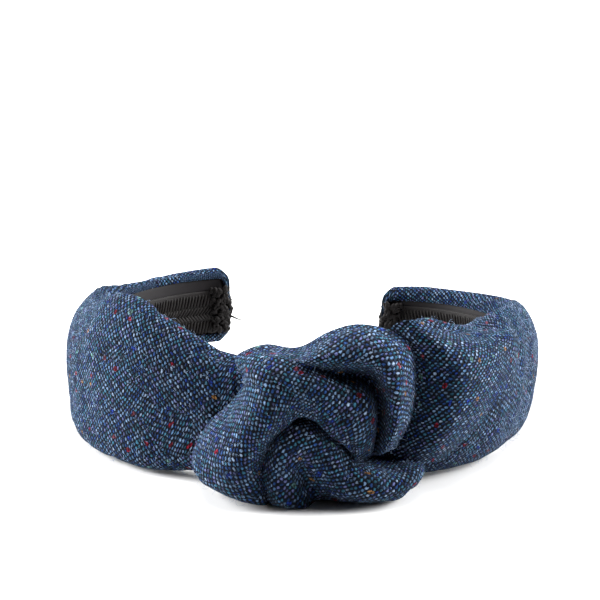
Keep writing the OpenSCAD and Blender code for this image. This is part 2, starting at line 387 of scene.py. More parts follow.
# ---------------------------------------------------------------- tweed sleeve
# The sleeve is one tube of tweed drawn over band and wadding, cut here where the knot covers it.
# Its hems turn over both edges and lie on the inside, and its ends are folded over the tips.
# Rows are: distance from the crown, height above and below the mid line, bulge outwards, in mm.
SLEEVE = {
    "right": [
        (20, 18.0, 21.2, 6.0),
        (26, 20.5, 21.6, 8.5),
        (34, 22.6, 21.6, 12.0),
        (42, 21.0, 21.5, 14.0),
        (50, 19.4, 21.4, 13.6),
        (58, 20.8, 20.8, 11.0),
        (68, 21.4, 20.2, 7.6),
        (78, 20.8, 19.4, 5.8),
        (88, 19.2, 18.4, 4.8),
        (100, 17.2, 17.2, 4.6),
        (120, 14.3, 15.2, 5.2),
        (140, 12.4, 13.6, 4.8),
        (168, 11.4, 12.2, 4.4),
    ],
    "left": [
        (18, 12.6, 18.5, 5.6),
        (24, 14.6, 19.8, 6.0),
        (30, 17.0, 20.8, 6.6),
        (36, 19.6, 21.4, 7.6),
        (42, 22.4, 21.5, 8.8),
        (50, 25.4, 21.4, 9.8),
        (58, 26.0, 21.1, 9.8),
        (68, 24.0, 20.9, 8.8),
        (80, 20.8, 20.5, 7.6),
        (94, 19.2, 19.6, 6.6),
        (112, 16.9, 17.8, 5.8),
        (130, 13.8, 15.6, 5.2),
        (148, 12.6, 13.6, 4.8),
        (172, 13.0, 12.2, 4.4),
    ],
}
# how far each hem stops from the mid line; on the right arm the upper one was turned over further
HEM = 8.7
DEEPER_HEM = {"left": 0.0, "right": 2.1}
INNER_FACE = -2.3
CLOTH_THICK = 0.9
# how far the cloth goes past the plastic, and the rounding of its corners and end there
TIP_OVER = 2.6
TIP_CORNER = 5.5
TIP_ROUND = 3.2
# half a section from the hem to the mid line: place outwards, whether its height counts from the
# hem, its height, and how far fullness moves it
HALF_SECTION = [
    (0.0, 1, 0.0, 0.0),
    (-0.02, 1, 0.45, 0.0),
    (0.05, 0, 0.96, 0.13),
    (0.17, 0, 1.0, 0.33),
    (0.36, 0, 0.94, 0.40),
    (0.61, 0, 0.78, 0.30),
    (0.84, 0, 0.52, 0.12),
    (0.97, 0, 0.20, 0.02),
]
AROUND_OUT, AROUND_IN = 60, 12
ROW_STEP = 1.5


def sleeve_form(side, s):
    rows = np.array(SLEEVE[side])
    fine = smooth_through(rows, 8)
    return [np.interp(s, fine[:, 0], fine[:, k]) for k in (1, 2, 3)]


def fullness(side, s):
    """How far the upper half falls in at the side of the head, and the lower half sags out."""
    beside = float(soft_step((s - 62) / 26) * (1 - soft_step((s - 132) / 22)))
    sag = 1 - 0.85 * float(soft_step((s - 68) / 36))
    return (-0.75 * beside, 1.45 * sag) if side == "left" else (-0.5 * beside, 0.25 * sag)


def sleeve_section(top, bottom, bulge, hems, full=(0.0, 0.0), closing=0.0):
    """Outline of the cloth from the upper hem round the outside to the lower hem, in mm."""
    deep = (bulge - INNER_FACE) * (1 - closing)
    halves = []
    for height, sign, fat, hem in zip((top, bottom), (1, -1), full, hems):
        half = []
        for k, (u, from_hem, share, moved) in enumerate(HALF_SECTION):
            u = max(u + fat * moved, 0.02 * k - 0.04)
            low = hem * from_hem
            half.append((INNER_FACE + deep * u, sign * (low + (height - low) * share)))
        halves.append(half)
    return np.array(halves[0] + halves[1][::-1])


def lumps(points, size, depth, seed):
    """Soft uneven lumps: distance to move each point, in metres."""
    offset = Vector((seed * 7.7, seed * 3.1, seed * 5.3))
    return depth * np.array(
        [noise.noise(Vector(p) / size + offset) for p in points.reshape(-1, 3)]
    ).reshape(points.shape[:-1])


def cloth_ring(side, at, outline, thickness=CLOTH_THICK, inset=0.0):
    """Loop of cloth at one distance along the band: the outline, and back along its inner side."""
    inward = outline[::-1]
    tangent = np.gradient(inward, axis=0)
    normal = np.stack([tangent[:, 1], -tangent[:, 0]], axis=1)
    normal /= np.linalg.norm(normal, axis=1)[:, None] + 1e-9
    inner = (inward + normal * thickness)[:: AROUND_OUT // AROUND_IN]
    u, w = np.concatenate([outline, inner]).T
    return on_band(side, at, u + inset, w)


def make_sleeve(side, start):
    """Distances along one arm and the loops of cloth round it, rounded and closed at the tip."""
    length = band_length(side) + TIP_OVER
    round_tip = length - TIP_CORNER * (1 - np.sin(np.linspace(0, math.pi / 2, 12)))
    s = np.concatenate([np.arange(start, length - TIP_CORNER, ROW_STEP), round_tip])
    top, bottom, bulge = sleeve_form(side, s)
    rings = []
    for k, at in enumerate(s):
        left = max(length - at, 0.0)
        cut = TIP_CORNER - math.sqrt(max(TIP_CORNER**2 - max(TIP_CORNER - left, 0) ** 2, 0))
        closing = 0.0
        if left < TIP_ROUND:
            closing = 1 - math.sqrt(max(1 - ((TIP_ROUND - left) / TIP_ROUND) ** 2, 0.0)) * 0.97
        hems = np.array([HEM - DEEPER_HEM[side] * soft_step((at - 95) / 25), HEM])
        hems = hems * soft_step(left / 3.0) + 0.15
        section = sleeve_section(
            top[k] - cut, bottom[k] - cut, bulge[k], hems, fullness(side, at), closing
        )
        thickness = CLOTH_THICK * (1 - 0.9 * soft_step((4.0 - left) / 4.0))
        rings.append(cloth_ring(side, at, even_line(section, AROUND_OUT), thickness))
    return s, np.array(rings)


def ring_normals(rings):
    along = np.gradient(rings, axis=0)
    around = np.roll(rings, -1, axis=1) - np.roll(rings, 1, axis=1)
    n = np.cross(along, around)
    return n / (np.linalg.norm(n, axis=2, keepdims=True) + 1e-12)


def read(items, what, size):
    """One value of every vertex, face or corner, as rows of size numbers."""
    values = np.zeros(len(items) * size, np.float32)
    items.foreach_get(what, values)
    return values.reshape(-1, size)


# Soft creases pressed in near the knot: distance, height, slope, depth, half width, half height.
CREASES = {
    "right": [
        (50, 4, 0.34, 1.8, 4.0, 15),
        (62, 6, 0.42, 1.5, 3.4, 12),
        (73, 3, 0.34, 1.1, 3.6, 12),
        (86, 0, 0.3, 0.7, 5, 11),
    ],
    "left": [
        (54, 9, -1.1, 1.6, 3.2, 4.5),
        (34, -6, -0.25, 1.2, 4.5, 9),
        (67, -4, 0.5, 0.7, 5, 10),
    ],
}


def creased(side, s, width):
    """How far the cloth is pressed in, in metres, at distance s and at width mm up the outside."""
    depth = 0.0
    for at, height, slope, deep, wide, tall in CREASES[side]:
        centre = at + (width - height) * slope
        depth = depth + deep * np.exp(
            -(((s - centre) / wide) ** 2) - ((width - height) / tall) ** 2
        )
    return depth * MM


# a mesh this small is run at ten times its size, where the solver is steady
ENLARGED, SETTLE_FRAMES = 10, 20


def settle(piece, held, cap):
    """Lets the cloth swell and crumple over its filling: a short cloth run, capped and kept."""
    mesh = piece.data
    group = piece.vertex_groups.new(name="held")
    for index in np.flatnonzero(held):
        group.add([int(index)], 1.0, "REPLACE")
    before = read(mesh.vertices, "co", 3)
    mesh.vertices.foreach_set("co", (before * ENLARGED).ravel())
    cloth = piece.modifiers.new("settle", "CLOTH")
    setting = cloth.settings
    setting.vertex_group_mass = "held"
    setting.quality = 6
    setting.mass = 0.25
    setting.tension_stiffness = setting.compression_stiffness = 22
    setting.shear_stiffness = 6
    setting.bending_stiffness = 0.35
    setting.shrink_min = setting.shrink_max = -0.05
    setting.use_pressure = True
    setting.uniform_pressure_force = 4.0
    setting.effector_weights.gravity = 0
    scene = bpy.context.scene
    cloth.point_cache.frame_start, cloth.point_cache.frame_end = 1, SETTLE_FRAMES
    for frame_number in range(1, SETTLE_FRAMES + 1):
        scene.frame_set(frame_number)
    evaluated = piece.evaluated_get(bpy.context.evaluated_depsgraph_get())
    after = read(evaluated.to_mesh().vertices, "co", 3) / ENLARGED
    evaluated.to_mesh_clear()
    piece.modifiers.remove(cloth)
    piece.vertex_groups.clear()
    scene.frame_set(1)
    move = after - before
    far = np.linalg.norm(move, axis=1, keepdims=True)
    move *= np.minimum(far, cap) / (far + 1e-12)
    moved = before + move
    moved[:, 2] = np.maximum(moved[:, 2], 0.2 * MM)
    mesh.vertices.foreach_set("co", moved.ravel())
    mesh.update()


def refine(piece, levels):
    """Smooths a finished piece with Subdivision Surface and keeps the result as its mesh."""
    smoother = piece.modifiers.new("smooth", "SUBSURF")
    smoother.levels = smoother.render_levels = levels
    smoother.uv_smooth = "PRESERVE_BOUNDARIES"
    depsgraph = bpy.context.evaluated_depsgraph_get()
    finer = bpy.data.meshes.new_from_object(piece.evaluated_get(depsgraph))
    piece.modifiers.remove(smoother)
    piece.data = finer


BEND_HALF = 11


def flex(piece, side):
    """Bakes the piece's place into its mesh; the ends of 22 mm about the flexing line are found,
    but nothing is bent with them.
    """
    start, end = (
        tuple(on_band(side, FLEX_AT[side] + d, 0, 0)) for d in (-BEND_HALF, BEND_HALF)
    )
    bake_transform(piece)


for side in ("left", "right"):
    s, rings = make_sleeve(side, 18.0)
    normals = ring_normals(rings) * (1 if side == "left" else -1)
    threads = thread_map(rings, AROUND_OUT // 2, common_length=True)
    width = -threads[:, :AROUND_OUT, 0]
    lumpy = lumps(rings, 0.018, 0.6 * MM, 1) + lumps(rings, 0.006, 0.2 * MM, 2)
    lumpy[:, :AROUND_OUT] -= creased(side, s[:, None], width)
    tip_fade = soft_step((s[-1] - s) / 6)[:, None, None]
    rings += normals * lumpy[..., None] * tip_fade
    rings[..., 2] = np.maximum(rings[..., 2], 0.2 * MM)
    if side == "left":
        rings = rings[:, ::-1]
        threads = np.concatenate([threads[:, -2::-1], threads[:, -2:-1]], axis=1)
    piece = skin(f"{side}_sleeve", rings, threads, tweed)
    outside = np.zeros(rings.shape[:2], bool)
    outside[:, :AROUND_OUT] = True
    outside[:, :5] = outside[:, AROUND_OUT - 5 : AROUND_OUT] = False
    if side == "left":
        outside = outside[:, ::-1].copy()
    outside[:3] = outside[-8:] = False
    settle(piece, ~outside.ravel(), cap=1.3 * MM)
    refine(piece, 1)
    flex(piece, side)
    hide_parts(f"cover_{side}", f"pad_{side}")

# ---------------------------------------------------------------- plastic strip inside
# The springy strip itself, 1.5 mm thick with rounded edges, is pushed through the sleeve. It is
# held by the cloth alone, and it narrows to the tips and where the knot gathers the sleeve.
plastic, _ = material("band_plastic", 0.35, Base_Color=(0.02, 0.02, 0.022, 1))


# each long strip is made in two halves, and its left half stands for the crown's node as well
HALVES = {"left": ("left", "crown"), "right": ("right",)}


def strip(name, side, s_from, s_to, half_width, u_in, u_out, drop, surface, rounded=0.0):
    """A flat strip laid along the band and taking its shape, the left arm's rise about the flexing
    line too.
    """
    s = np.arange(s_from, s_to + 0.01, (s_to - s_from) / round((s_to - s_from) / 2.0))
    turn = np.linspace(0, math.pi / 2, 4)
    mid, half = (u_in + u_out) / 2, (u_out - u_in) / 2
    rings = []
    for at in s:
        wide = half_width(at) * (1 - 0.5 * rounded * (1 - soft_step((s_to - at) / 4.0)))
        round_end = np.stack([mid + half * np.cos(turn), wide - half + half * np.sin(turn)])
        corner = np.concatenate([round_end, round_end[:, ::-1] * [[-1], [1]] + [[2 * mid], [0]]], 1)
        edge = np.concatenate([corner, corner[:, ::-1] * [[1], [-1]]], 1)
        rings.append(on_band(side, at, edge[0], edge[1] - drop))
    rings = np.array(rings)
    if side == "left":
        rings = rings[:, ::-1]
    piece = skin(name, rings, thread_map(rings, 0), surface)
    flex(piece, side)
    return piece


def inside_sleeve(side):
    """Half width of the strip: 32 mm wide on the head, less at the tips and inside the knot."""
    at, top = np.array(SLEEVE[side])[:, :2].T
    # it goes on under the knot as narrow as the crown of the sleeve is there
    top[0] = 12.2
    return lambda s: min(16.0 - 7.0 * max(s - 90, 0) / 75, float(np.interp(s, at, top)) - 2.2)


for side in ("left", "right"):
    piece = strip(
        f"{side}_plastic_strip", side, 0.05, band_length(side) - 1.0, inside_sleeve(side),
        -0.6, 0.9, 0.0, plastic, rounded=1.0,
    )
    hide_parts(*(f"core_{part}" for part in HALVES[side]))

# ---------------------------------------------------------------- crown of the sleeve
# Behind the knot the same tube of tweed goes on round the crown, narrow and pulled flat by it.
# It runs on under both halves, so only its upper edge and its inside are seen.
rings = []
for at in np.arange(-22, 22.1, ROW_STEP):
    top = float(np.interp(at, (-22, -8, 10, 22), (12.6, 14.6, 15.4, 17.5)))
    outline = even_line(sleeve_section(top, 17.5, 5.0, (HEM, HEM)), AROUND_OUT)
    rings.append(cloth_ring("left" if at < 0 else "right", abs(at), outline, inset=0.06))
rings = np.array(rings)[:, ::-1]
crown_sleeve = skin("crown_sleeve", rings, thread_map(rings, 42), tweed)
refine(crown_sleeve, 1)
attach(crown_sleeve, "crown")
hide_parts("cover_crown", "pad_crown")

# ---------------------------------------------------------------- knot
# The ends of the tube are crossed at the crown and pulled through into one soft overhand knot.
# A broad strand climbs from the lower left and turns over to the right, its inner half rolled
# under; below it come the two turns that it passes round; a last gather stands at the right.
# A rib is a line of points laid over one strand, in mm from the foremost point on the table.
KNOT = CROWN - MM * np.array([0, 30, 23])
# every strand is closed at least this far behind the foremost point, in mm
BEHIND = 24.6
OVER_STRAND = [
    [(-31, 24, 5.6), (-27, 19, 1.6), (-20, 17, 0.3), (-12, 16, 0.2), (-8, 16, 0.8),
     (-6, 24, 4)],
    [(-31.5, 20, 7.4), (-28.9, 12, 6.6), (-22.6, 8, 4.6), (-16.3, 7, 2.4), (-11.5, 8, 0.9),
     (-10, 13, 0.3)],
    [(-30.8, 22, 11.6), (-27.9, 13, 13.1), (-22.6, 5, 13.8), (-17.3, 3, 12.8),
     (-13.1, 6, 11.7), (-11.5, 12, 10.1)],
    [(-26.8, 22, 18.8), (-23.6, 13, 20.4), (-18.9, 4.5, 21.2), (-14.2, 2.5, 19.7),
     (-10.5, 6, 19), (-9.2, 12, 18)],
    [(-21.3, 22, 24.4), (-18.9, 12, 26.9), (-14.7, 4, 28.1), (-10, 2.5, 26.4),
     (-5.7, 6, 25.1), (-3.6, 11, 24.5)],
    [(-17.3, 21, 31.5), (-15.8, 11, 34), (-12.1, 4.5, 34.1), (-7.3, 3, 32.4),
     (-3.1, 5, 29.4), (-1, 10, 26)],
    [(-19.4, 22, 38), (-16.8, 13, 39.4), (-12.1, 6, 38.6), (-6.8, 4, 35.9),
     (-2.1, 5, 31.7), (1.1, 10, 25.4)],
    [(-11.5, 17, 42.4), (-11, 11, 43), (-8.4, 6, 41.6), (-4.7, 4.5, 38.6),
     (0, 5, 32.8), (3.2, 10, 24.3)],
    [(-2.1, 17, 41.8), (-2, 10, 43), (-1, 7, 43.3), (0.8, 10, 40.4),
     (1.6, 6, 38.6), (2.2, 4.5, 34.1), (3.7, 6, 27.9), (4.5, 10, 22.9)],
    [(6.9, 20, 46), (6.9, 13, 47), (7.4, 8, 43.5), (7.9, 15, 37.2),
     (8.2, 8, 36.7), (7.4, 5, 32.8), (7.4, 6.5, 25.5), (7.4, 10, 19.8)],
    [(15.8, 22, 47.5), (16.4, 14, 48.5), (18, 8, 43), (16.4, 20, 34.8),
     (14.8, 9, 34.4), (11.6, 5.5, 30.4), (10.6, 6.5, 23.2), (10, 10, 18.1)],
    [(27.4, 18, 43.8), (24.8, 11, 42.9), (22.2, 7, 38.4), (19.9, 20, 30.2),
     (18, 9, 30.2), (14.8, 6, 26.8), (12.7, 7, 20.9), (11.6, 10, 16.5)],
    [(30.1, 20, 33), (27.4, 12, 34.2), (24, 7, 32.1), (20.6, 20, 23),
     (18.7, 9.5, 24.5), (15.8, 7, 22.6), (13.7, 8, 18.8), (12.7, 11, 14.9)],
    [(29.5, 21, 22.5), (26.9, 13, 24.3), (23.6, 8, 22.7), (20.2, 18, 17.7),
     (18, 10, 18.7), (15.8, 8, 17.7), (14.3, 9, 15.6), (13.5, 12, 13)],
    [(25.8, 24, 11.4), (23.7, 16, 13.7), (21.1, 11, 14.4), (18.5, 14, 13),
     (17.2, 13, 13.4), (15.8, 12, 13.5), (14.8, 13, 12.6), (14.3, 15, 11)],
]
UNDER_STRAND = [
    [(-3.6, 15, 25), (-8, 14, 21), (-12, 14, 15), (-13.4, 14, 8.6), (-12.6, 12, 3.6),
     (-10, 9, 0.6), (-8, 12, 0.1)],
    [(-1, 9, 25), (-4.6, 7, 22.8), (-8, 5.6, 17.7), (-9, 5.4, 12.1), (-8.2, 5.4, 6.9),
     (-6.2, 5.4, 2), (-4.4, 8.5, 0.1)],
    [(1.1, 8, 23.9), (-1, 6, 21.2), (-3.6, 5.5, 16.4), (-4.7, 6, 11.7), (-3.6, 6.8, 6.9),
     (-1.5, 7, 2), (0.5, 9, 0.1)],
    [(3.2, 8, 22.7), (2.2, 6, 19.5), (0, 7, 14.8), (-0.5, 10, 9.7), (0.6, 11, 5.4),
     (2.2, 11, 2.1), (3.7, 14, 0.2)],
    [(5.3, 8.5, 20.9), (5.3, 6, 17.9), (4.3, 6, 13.9), (4.3, 8, 9.3), (5.3, 9.5, 5.5),
     (6.9, 10, 2.5), (9, 13, 0.2)],
    [(7.9, 9, 19), (8.5, 6.5, 16), (8.5, 5, 12.7), (9, 5.5, 9.1), (10.1, 6, 6.1),
     (11.6, 7.5, 3.4), (13.7, 12, 0.2)],
    [(11.1, 11, 15.5), (12.7, 9, 12.8), (13.7, 6, 11.1), (14.8, 4.5, 8.9), (15.8, 5, 5.9),
     (16.9, 7, 3), (18, 12, 0.2)],
    [(15.8, 15, 10.7), (18, 12, 11), (19, 7.5, 10.6), (20.1, 5.5, 9.1), (21.1, 5.5, 6.3),
     (22.2, 8, 3.2), (22.7, 13, 0.2)],
    [(22.2, 17, 9.2), (23.7, 13, 9.5), (24.8, 9.5, 9.4), (25.8, 8, 7.9), (26.4, 9, 5.6),
     (26.6, 11, 3.2), (26.4, 15, 0.7)],
    [(28, 20, 9.2), (29.3, 16, 9.2), (30.1, 13.5, 9), (30.6, 12.5, 8), (30.8, 13.5, 6.2),
     (30.6, 16, 3.9), (29.8, 20, 1.7)],
    [(31.6, 24, 8), (32.7, 20, 8.7), (33.2, 19, 8.1), (33.2, 19, 7), (33, 20, 5.9),
     (32.4, 22, 4.3), (31.6, 25, 2.7)],
]
GATHER = [
    [(22, 28, 44), (23.6, 24.6, 48), (27, 22.8, 50.4), (31.4, 24.5, 49.2), (37, 28.5, 45.6),
     (43, 34, 42.5), (48, 40, 40.5)],
    [(25.4, 26, 43.5), (28, 21.6, 45.6), (32.5, 20, 46), (38, 20.8, 44.4), (44, 25.5, 42.2),
     (50.5, 33.5, 40.6), (56, 42, 39.6)],
    [(26.5, 26, 37.5), (31, 21.8, 38.8), (36.5, 19.4, 39.4), (42.5, 19.4, 38.6), (48.6, 24.6, 38),
     (54.5, 34, 37.4), (59.5, 45, 37)],
    [(26.5, 26, 30), (31.5, 21.8, 30.8), (37.5, 19.2, 31), (43.8, 19.4, 30.4), (49.8, 25.2, 30),
     (55.5, 35, 30), (60, 46, 30)],
    [(25.5, 26, 21.5), (30, 21.6, 21.8), (35.5, 19, 21.8), (41.3, 19.4, 21.2), (47.4, 25.2, 20.6),
     (53, 34, 20), (58, 44, 20)],
    [(23.5, 26, 14.5), (27, 21.4, 14.4), (31.3, 19.4, 14), (36.4, 20, 13), (42.2, 25.4, 12.2),
     (48, 33, 11.6), (53, 42, 11)],
    [(21.5, 27, 9.6), (24, 22.6, 9.2), (27.4, 21.4, 8.4), (31.4, 22.8, 7.2), (37, 27.6, 6),
     (42, 34, 5.4), (47, 41, 5)],
]
# points for each span of a rib, and rows from rib to rib
ACROSS, ALONG = 5, 5


def ease_threads(piece, grid, seam):
    """Cloth shears but hardly stretches: flatten the strand, cut along the column seam behind."""
    rows, around = grid
    mesh = piece.data
    wanted = read(mesh.uv_layers["threads"].data, "uv", 2)
    for edge in mesh.edges:
        a, b = edge.vertices
        across = a % around == seam and b % around == seam
        ends = {a // around, b // around} in ({0}, {rows - 1})
        edge.use_seam = across or ends
    bpy.context.view_layer.objects.active = piece
    piece.select_set(True)
    bpy.ops.object.mode_set(mode="EDIT")
    bpy.ops.mesh.select_all(action="SELECT")
    bpy.ops.uv.unwrap(method="MINIMUM_STRETCH", iterations=30, correct_aspect=False)
    bpy.ops.object.mode_set(mode="OBJECT")
    piece.select_set(False)
    flat = read(mesh.uv_layers["threads"].data, "uv", 2)
    side = (rows - 1) * around * 4
    body = flat[:side].reshape(-1, 4, 2)
    run = body[:, 2] - body[:, 0], body[:, 3] - body[:, 1]
    area = 0.5 * np.abs(run[0][:, 0] * run[1][:, 1] - run[0][:, 1] * run[1][:, 0])
    true = np.array([f.area for f in mesh.polygons[: (rows - 1) * around]])
    scale = math.sqrt(true.sum() / area.sum()) / MM
    # lay it back along the strand: the turn (or turn and flip) that best matches the first map
    row = body[:, 3] - body[:, 0]
    column = body[:, 1] - body[:, 0]
    best = wanted[:side].reshape(-1, 4, 2)
    pull = (row.T @ (best[:, 3] - best[:, 0])) + (column.T @ (best[:, 1] - best[:, 0]))
    u, _, v = np.linalg.svd(pull)
    flat = flat @ (u @ v) * scale
    # each end face is a small flat patch of its own
    for face in mesh.polygons[(rows - 1) * around :]:
        spread = np.array([mesh.vertices[k].co - face.center for k in face.vertices])
        edge_way = Vector(spread[0]).normalized()
        frame_of_face = np.array([edge_way, face.normal.cross(edge_way)])
        flat[list(face.loop_indices)] = spread @ frame_of_face.T / MM
    mesh.uv_layers["threads"].data.foreach_set("uv", flat.ravel().astype(np.float32))


def knot_strand(name, ribs, *nodes):
    """One strand: its ribs closed behind, skinned, and its thread map laid along its columns."""
    most = max(len(rib) for rib in ribs)
    loops = []
    for rib in ribs:
        front = np.array(rib, float) if len(rib) == most else even_line(rib, most)
        first, last = front[0], front[-1]
        back = [
            last + (last - front[-2]) * 0.2 + (0, 4, 0),
            last * 0.75 + first * 0.25,
            last * 0.25 + first * 0.75,
            first + (first - front[1]) * 0.2 + (0, 4, 0),
        ]
        for p in back:
            p[1] = max(p[1], BEHIND)
        loops.append(np.concatenate([front, back]))
    loops = smooth_through(loops, ALONG)
    rings = smooth_through(loops.transpose(1, 0, 2), ACROSS, closed=True).transpose(1, 0, 2)
    rings[..., 2] = np.maximum(rings[..., 2], 0.05)
    rings = KNOT + MM * rings
    threads = thread_map(rings, ACROSS * (most - 1) // 2)
    rings += ring_normals(rings) * lumps(rings, 0.011, 0.5 * MM, 3)[..., None]
    rings[..., 2] = np.maximum(rings[..., 2], 0.05 * MM)
    piece = skin(name, rings, threads, tweed)
    ease_threads(piece, rings.shape[:2], ACROSS * (most + 1) + ACROSS // 2)
    held = np.ones(rings.shape[:2], bool)
    held[2:-2, 2 : ACROSS * (most - 1) - 1] = False
    settle(piece, held.ravel(), cap=0.6 * MM)
    refine(piece, 2)
    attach(piece, "crown")
    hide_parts(*nodes)
    return piece


over_strand = knot_strand("knot_over_strand", OVER_STRAND, "knot_arch", "knot_inner")
under_strand = knot_strand("knot_under_strand", UNDER_STRAND, "knot_lobe", "knot_fold")
gather = knot_strand("knot_gather_fold", GATHER, "knot_gather")

# ---------------------------------------------------------------- lining strip
# A smooth black satin strip is glued flat over the inside of the band and covers its wadding.
# Its edges run under both hems of the tweed, and it shows as a dark line above the braid.
satin, satin_shader = material(
    "lining_satin", 0.5, Base_Color=(0.008, 0.007, 0.008, 1), Specular_IOR_Level=0.12
)


def grain(scale):
    """A fine even unevenness of the fibres, from 0 to 1."""
    place = Signal.node("ShaderNodeTexCoord", out="Object")
    values = {"Vector": place, "Scale": scale, "Detail": 2.0}
    return Signal.node("ShaderNodeTexNoise", values=values)


into(satin_shader, "Normal", bump(grain(2600.0), 0.35, 0.1))
for side in ("left", "right"):
    piece = strip(
        f"{side}_lining", side, -0.5, band_length(side) + 0.6, lambda s: HEM + 0.5,
        -2.05, -1.35, 0.0, satin,
    )
    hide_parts(*(f"lining_{part}" for part in HALVES[side]))

# ---------------------------------------------------------------- grip braid
# A black rayon gimp braid is stitched down the middle of the lining to keep the band from
# slipping. Wrapped cords stand upright along both edges and lie in chevrons down the middle,
# and each end is folded under itself into a thick lumpy turn at the tip.
rayon, rayon_shader = material(
    "braid_rayon", 0.48, Base_Color=(0.005, 0.004, 0.004, 1), Specular_IOR_Level=0.14
)
twist = grain(3800.0)
into(rayon_shader, "Normal", bump(twist, 0.7, 0.15))
into(rayon_shader, "Roughness", 0.38 + 0.3 * twist)
# in mm: half width, how far it sits below the mid line, and from one chevron to the next
BRAID_HALF, BRAID_DROP, STITCH = 7.0, 1.2, 1.18
BRAID_FACE, BRAID_BACK = -2.75, -1.9
END_LOOPS = 90


class Tree:
    """A Geometry Nodes tree with named inputs; _0 stands for a node's first socket, and so on."""

    def __init__(self, name, **inputs):
        self.tree = bpy.data.node_groups.new(name, "GeometryNodeTree")
        face = self.tree.interface
        face.new_socket("Geometry", in_out="INPUT", socket_type="NodeSocketGeometry")
        for label, kind in inputs.items():
            face.new_socket(label, in_out="INPUT", socket_type=f"NodeSocket{kind}")
        face.new_socket("Geometry", in_out="OUTPUT", socket_type="NodeSocketGeometry")
        self.given = self.tree.nodes.new("NodeGroupInput").outputs

    def node(self, kind, settings=None, **values):
        made = self.tree.nodes.new(kind)
        for name, value in (settings or {}).items():
            setattr(made, name, value)
        for name, value in values.items():
            socket = made.inputs[int(name[1:]) if name[0] == "_" else name.replace("_", " ")]
            if isinstance(value, bpy.types.NodeSocket):
                self.tree.links.new(value, socket)
            else:
                socket.default_value = value
        return made.outputs

    def attribute(self, name, kind="FLOAT"):
        return self.node("GeometryNodeInputNamedAttribute", {"data_type": kind}, Name=name)[0]

    def finish(self, instances, surface):
        real = self.node("GeometryNodeRealizeInstances", _0=instances)[0]
        shaded = self.node("GeometryNodeSetShadeSmooth", _0=real)[0]
        done = self.node("GeometryNodeSetMaterial", _0=shaded, Material=surface)[0]
        out = self.tree.nodes.new("NodeGroupOutput")
        self.tree.links.new(done, out.inputs[0])
        return self.tree


def grown(name, source, tree, **values):
    """Runs a Geometry Nodes tree over a mesh and keeps what it makes as a plain mesh."""
    carrier = bpy.data.objects.new(name, source)
    bpy.context.scene.collection.objects.link(carrier)
    grower = carrier.modifiers.new("grow", "NODES")
    grower.node_group = tree
    for socket in tree.interface.items_tree:
        if socket.in_out == "INPUT" and socket.name in values:
            grower[socket.identifier] = values[socket.name]
    depsgraph = bpy.context.evaluated_depsgraph_get()
    made = bpy.data.meshes.new_from_object(carrier.evaluated_get(depsgraph))
    carrier.modifiers.remove(grower)
    carrier.data = made
    made.name = name
    places = read(made.vertices, "co", 3)
    places[:, 2] = np.maximum(places[:, 2], 0.1 * MM)
    made.vertices.foreach_set("co", places.ravel())
    return carrier


cord_tree = Tree("braid_cords", Cord_radius="Float", Seed="Int")
bead = cord_tree.node("GeometryNodeMeshUVSphere", Segments=8, Rings=6, Radius=1.0)[0]
stand = cord_tree.node(
    "FunctionNodeAlignRotationToVector",
    {"axis": "Z"},
    Vector=cord_tree.attribute("lie", "FLOAT_VECTOR"),
)[0]
stand = cord_tree.node(
    "FunctionNodeAlignRotationToVector",
    {"axis": "X", "pivot_axis": "Z"},
    Rotation=stand,
    Vector=cord_tree.attribute("face", "FLOAT_VECTOR"),
)[0]
uneven = cord_tree.node(
    "FunctionNodeRandomValue",
    {"data_type": "FLOAT_VECTOR"},
    _0=(0.85, 0.85, 0.9),
    _1=(1.2, 1.15, 1.12),
    Seed=cord_tree.given["Seed"],
)[0]
thick = cord_tree.node(
    "ShaderNodeMath", {"operation": "MULTIPLY"}, _0=cord_tree.given["Cord_radius"],
    _1=cord_tree.attribute("thick"),
)[0]
size = cord_tree.node(
    "ShaderNodeCombineXYZ", X=thick, Y=thick, Z=cord_tree.attribute("long")
)[0]
size = cord_tree.node("ShaderNodeVectorMath", {"operation": "MULTIPLY"}, _0=size, _1=uneven)[0]
spots = cord_tree.node("GeometryNodeMeshToPoints", Mesh=cord_tree.given["Geometry"])[0]
cords = cord_tree.node(
    "GeometryNodeInstanceOnPoints", Points=spots, Instance=bead, Rotation=stand, Scale=size
)[0]
braid_cords = cord_tree.finish(cords, rayon)


